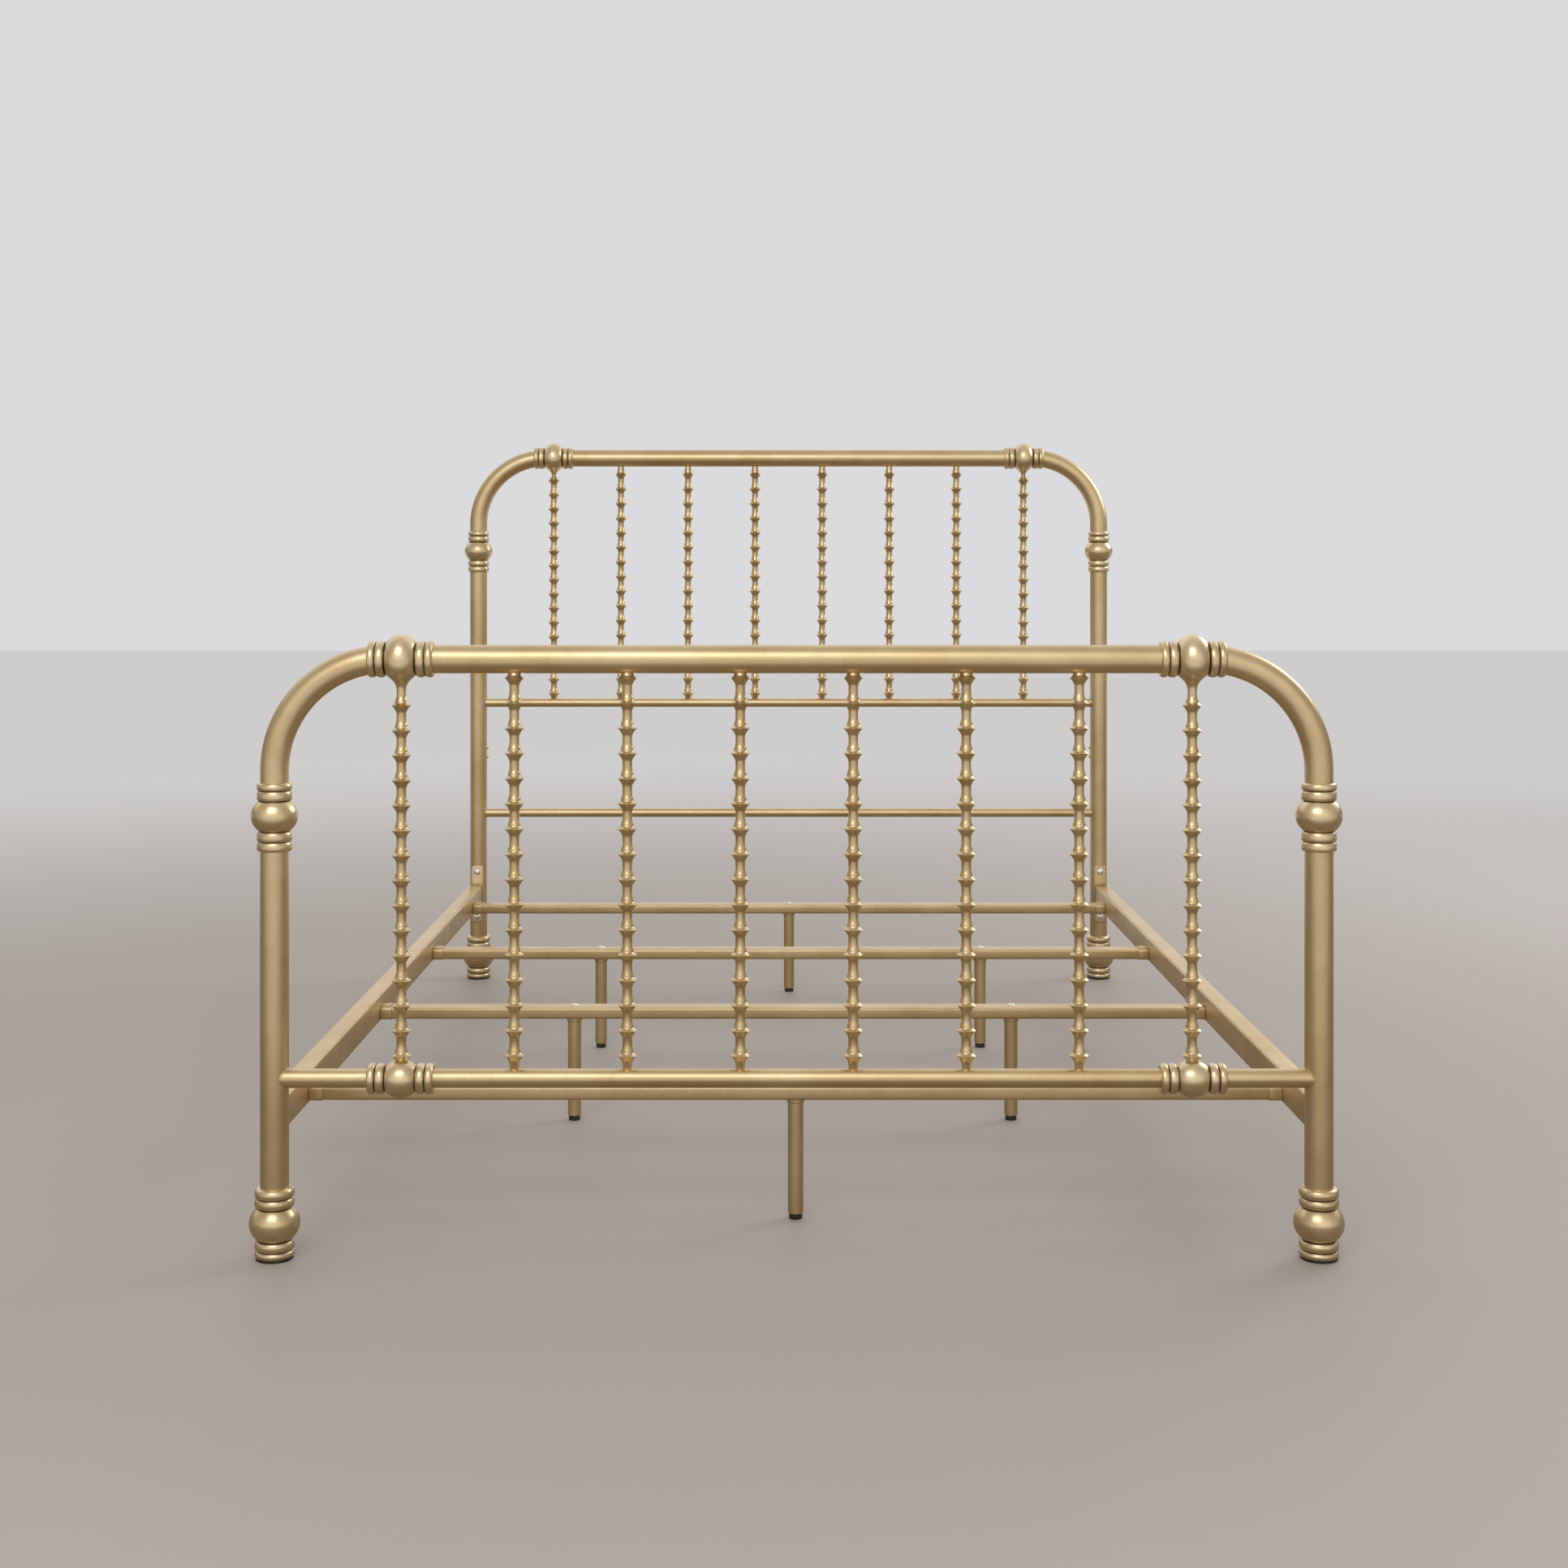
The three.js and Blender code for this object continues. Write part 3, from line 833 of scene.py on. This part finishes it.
leg = {
    "footChamfer": (0.0015, 0.0012),  # in from the side, and up from the end
    "collar": 0.0128,  # radius of the collar under the slat
    "collarHeight": 0.006,
    "collarSlope": 0.0012,
    "intoSlat": 0.0006,
}

glide = {
    "padHeight": 0.0072,
    "padUnder": ((0.86, 0), (0.95, 0.0005), (1, 0.0014)),  # share of the radius, and height
    "padOver": ((1, 0.0016), (0.95, 0.0005), (0.86, 0)),  # share of the radius, and depth below the top
    "shoulder": 0.0016,  # pad's top up to the thread
    "stem": 0.0040,
    "threadPitch": 0.00125,
    "threadDepth": 0.0005,
    "threadTurns": 18,
    "threadCrest": (0.4, 0.6),  # where the crest starts and ends, as shares of the pitch
    "tipChamfer": (0.001, 0.0012),
    "sides": 20,
}


def makeLegs():
    inward, upward = leg["footChamfer"]
    for number in range(1, 7):
        node = f"support_leg_{number}"
        low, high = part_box(node)
        place = middle(node)
        radius = span(node).y / 2
        bottom, top = low.z, high.z
        shoulder = top - leg["collarHeight"]
        profile = [(0, bottom), (radius - inward, bottom), (radius, bottom + upward), (radius, shoulder),
                   (leg["collar"], shoulder + leg["collarSlope"]), (leg["collar"], top + leg["intoSlat"]),
                   (0, top + leg["intoSlat"])]
        shape = bmesh.new()
        turn(shape, profile, [upright(place.x, place.y, 0)], segments=36)
        finish(node + "_tube", solidMesh(node + "_tube", shape), goldFrame, nodes=[node])


def makeGlides():
    pad, stem, pitch = glide["padHeight"], glide["stem"], glide["threadPitch"]
    root = stem - glide["threadDepth"]
    crestStart, crestEnd = (pitch * share for share in glide["threadCrest"])
    threadStart = pad + glide["shoulder"]
    threadEnd = threadStart + pitch * glide["threadTurns"]
    tipInward, tipDown = glide["tipChamfer"]
    for number in range(1, 7):
        node = f"leg_glide_{number}"
        place = middle(node)
        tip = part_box(node)[1].z
        radius = span(node).y / 2
        section = bmesh.new()
        turn(section, [(root, 0), (stem, crestStart), (stem, crestEnd), (root, pitch)], [Matrix()],
             segments=glide["sides"], capped=False)
        seed = bpy.data.meshes.new(node + "_screw")
        section.to_mesh(seed)
        section.free()
        run = grow(seed, trees["stack"], Count=glide["threadTurns"], Pitch=pitch,
                   Start=(place.x, place.y, threadStart), Material=glidePlastic)
        shape = bmesh.new()
        shape.from_mesh(run)
        at = [upright(place.x, place.y, 0)]
        padUp = [(radius * share, height) for share, height in glide["padUnder"]]
        padDown = [(radius * share, pad - depth) for share, depth in glide["padOver"]]
        turn(shape, [(0, 0), *padUp, *padDown, (stem, pad), (root, threadStart)],
             at, segments=glide["sides"], capped=False)
        turn(shape, [(root, threadEnd), (root, tip - tipDown), (root - tipInward, tip), (0, tip)],
             at, segments=glide["sides"], capped=False)
        bmesh.ops.remove_doubles(shape, verts=shape.verts, dist=0.00002)
        finish(node + "_screw", solidMesh(node + "_screw", shape), glidePlastic,
               body=f"glide_{number}", nodes=[node])


makeSlats()
makeLegs()
makeGlides()
print("slats, legs and glides made")


# Bolts, studs and welds

bolt = {"radius": 0.0078, "height": 0.0048, "slatRadius": 0.0068, "slatHeight": 0.0040}


def boltPiece(name, points, radius, height, facing):
    seed = bpy.data.meshes.new(name)
    seed.from_pydata([tuple(point) for point in points], [], [])
    mesh = grow(seed, trees["bolt"], Radius=radius, Height=height, Facing=facing, Material=paintedHighlightBolt)
    shape = bmesh.new()
    shape.from_mesh(mesh)
    finish(name, solidMesh(name, shape), paintedHighlightBolt)


def makeBolts():
    low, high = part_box("side_rail_left")
    heights = [(low.z + high.z + end * sideRail["boltSpacing"]) / 2 for end in (-1, 1)]
    inset = sideRail["plateThickness"]
    ends = {"headboard": (high.y - inset, (pi / 2, 0, 0)), "footboard": (low.y + inset, (-pi / 2, 0, 0))}
    for board, (y, facing) in ends.items():
        points = [(sign * postX, y, height) for sign in (-1, 1) for height in heights]
        boltPiece(board + "_bolts", points, bolt["radius"], bolt["height"], facing)
    tops = []
    for number in range(1, 7):
        place = middle(f"support_leg_{number}")
        tops.append((place.x, place.y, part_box("slat_1")[1].z))
    boltPiece("leg_bolts", tops, bolt["slatRadius"], bolt["slatHeight"], (0, 0, 0))


stud = {"radius": 0.0042, "length": 0.0030, "heights": (0.500, 0.520), "sunk": 0.0015, "chamfer": 0.0012}


def makeStuds():
    y = boards["headboard"][0]
    shape = bmesh.new()
    surface = tubeRadius - stud["sunk"]
    tip = stud["length"] + stud["sunk"]
    profile = [(0, 0), (stud["radius"], 0), (stud["radius"], tip - stud["chamfer"]),
               (stud["radius"] - stud["chamfer"], tip), (0, tip)]
    places = [crossways(sign * (postX - surface), y, height, -sign)
              for sign in (-1, 1) for height in stud["heights"]]
    turn(shape, profile, places, segments=20)
    finish("headboard_studs", solidMesh("headboard_studs", shape), goldCasting)


weld = {"radius": 0.0011, "unevenness": 0.0010, "steps": 40}


def railWeld(sign, node, y):
    # Where a rail's skin meets the post's skin
    place = middle(node)
    radius = span(node).z / 2
    path = []
    for step in range(weld["steps"]):
        angle = 2 * pi * step / weld["steps"]
        across = place.y + radius * sin(angle) - y
        path.append((sign * (postX - sqrt(max(tubeRadius ** 2 - across ** 2, 0.0001))),
                     y + across, place.z + radius * cos(angle)))
    return path


def makeWelds():
    for board, nodes in (("headboard", ("headboard_upper_rail", "headboard_lower_rail")),
                         ("footboard", ("footboard_lower_rail",))):
        paths = [railWeld(sign, node, boards[board][0]) for node in nodes for sign in (-1, 1)]
        mesh = grow(pathMesh(board + "_welds", *paths, closed=True), trees["weld"], Radius=weld["radius"],
                    Unevenness=weld["unevenness"], Seed=3.0, Material=goldTube)
        shape = bmesh.new()
        shape.from_mesh(mesh)
        finish(board + "_welds", solidMesh(board + "_welds", shape), goldTube)


makeBolts()
makeStuds()
makeWelds()
print("bolts, studs and welds made")


# Floor, light and camera

studio = {
    "floor": linear(180, 172, 164),
    "farFloor": linear(240, 240, 242),
    "floorEdges": (1.2, 6.5),  # where the floor starts to pale, and where it is palest, from the middle
    "rug": linear(130, 116, 97),  # painted reflection: a darker floor close by, seen only in the metal, which shades its undersides
    "rugEdges": (1.5, 2.8),
    "wall": linear(219, 219, 222),
    "front": linear(255, 251, 245),
    "sides": linear(112, 104, 94),
    "rearHigh": linear(248, 248, 250),
    "overhead": linear(205, 203, 199),
}


def makeFloor():
    half = 20  # metres, so that its edge is far behind the bed
    mesh = bpy.data.meshes.new("studioFloor")
    corners = [(-half, -half, 0), (half, -half, 0), (half, half, 0), (-half, half, 0)]
    mesh.from_pydata(corners, [], [(0, 1, 2, 3)])
    material = bpy.data.materials.new("studioFloor")
    material.use_nodes = True
    maker = Maker(material.node_tree)
    place = maker.add("ShaderNodeTexCoord", output="Object")
    away = maker.add("ShaderNodeVectorMath", {"operation": "LENGTH"}, {"Vector": place}, output="Value")
    along = maker.add("ShaderNodeSeparateXYZ", None, {"Vector": place}, output="Y").maths("ABSOLUTE")
    farness = [maker.add("ShaderNodeMapRange", {"interpolation_type": "SMOOTHSTEP"},
                         {"Value": distance, "From Min": near, "From Max": far})
               for distance, (near, far) in ((away, studio["floorEdges"]), (along, studio["rugEdges"]))]
    seen = maker.mix(farness[0], studio["floor"], studio["farFloor"])
    mirrored = maker.mix(farness[1], studio["rug"], studio["farFloor"])
    # Painted reflection: glossy rays see the darker floor close by, while the camera sees the pale one
    glossy = maker.add("ShaderNodeLightPath", output="Is Glossy Ray")
    shader = maker.add("ShaderNodeBsdfPrincipled", None,
                       {"Base Color": maker.mix(glossy, seen, mirrored), "Roughness": 0.6})
    maker.add("ShaderNodeOutputMaterial", None, {"Surface": shader})
    mesh.materials.append(material)
    floor = bpy.data.objects.new("studioFloor", mesh)
    bpy.context.scene.collection.objects.link(floor)


def makeSky():
    # A plain wall all round to look at. The metal sees a room that is bright in front and high up
    # at the rear, and dim at the sides.
    world = bpy.data.worlds.new("studioSky")
    world.use_nodes = True
    maker = Maker(world.node_tree)
    direction = maker.add("ShaderNodeTexCoord", output="Generated")
    rearward = maker.add("ShaderNodeSeparateXYZ", None, {"Vector": direction}, output="Y") * 0.5 + 0.5
    upward = maker.add("ShaderNodeSeparateXYZ", None, {"Vector": direction}, output="Z")
    around = maker.ramp(rearward, ((0.0, 1.0), (0.1, 0.88), (0.22, 0.5), (0.45, 0.3), (0.7, 0.06),
                                   (0.92, 0.08), (0.985, 0.9)))
    high = maker.ramp(rearward, ((0.45, 0.0), (0.75, 1.0))) * maker.ramp(upward, ((0.12, 0.0), (0.45, 1.0)))
    tone = maker.mix(around, studio["sides"], studio["front"])
    tone = maker.mix(high, tone, studio["rearHigh"])
    tone = maker.mix(maker.ramp(upward, ((0.82, 0), (0.97, 1))), tone, studio["overhead"])
    direct = maker.add("ShaderNodeLightPath", output="Is Camera Ray")
    light = maker.add("ShaderNodeBackground", None, {"Color": maker.mix(direct, tone, studio["wall"])})
    maker.add("ShaderNodeOutputWorld", None, {"Surface": light})
    bpy.context.scene.world = world


softBoxes = {  # place, what it faces, size, power in watts, colour
    "key": ((-0.8, -3.9, 3.3), (0.0, -1.0, 0.8), (2.6, 2.3), 44, (0.86, 0.92, 1.0)),
    "window": ((3.0, 1.7, 2.4), (0.0, -0.4, 0.6), (1.5, 1.5), 30, (0.94, 0.97, 1.0)),
}


def makeLights():
    for name, (place, target, size, power, colour) in softBoxes.items():
        light = bpy.data.lights.new(name, "AREA")
        light.shape = "RECTANGLE"
        light.size, light.size_y = size
        light.energy = power
        light.color = colour
        lamp = bpy.data.objects.new(name, light)
        lamp.location = place
        lamp.rotation_euler = (Vector(target) - Vector(place)).to_track_quat("-Z", "Y").to_euler()
        lamp.visible_camera = False
        bpy.context.scene.collection.objects.link(lamp)


view = {"x": -0.027, "height": 0.925, "distance": 2.845, "lens": 48.73, "shiftX": 0.0047, "shiftY": -0.1377}


def makeCamera():
    lens = bpy.data.cameras.new("camera")
    lens.lens = view["lens"]
    lens.sensor_width = 36
    lens.shift_x = view["shiftX"]
    lens.shift_y = view["shiftY"]
    camera = bpy.data.objects.new("camera", lens)
    camera.location = (view["x"], boards["footboard"][0] - view["distance"], view["height"])
    camera.rotation_euler = (pi / 2, 0, 0)
    bpy.context.scene.collection.objects.link(camera)
    bpy.context.scene.camera = camera


makeFloor()
makeSky()
makeLights()
makeCamera()
bpy.context.scene.view_settings.view_transform = "Standard"
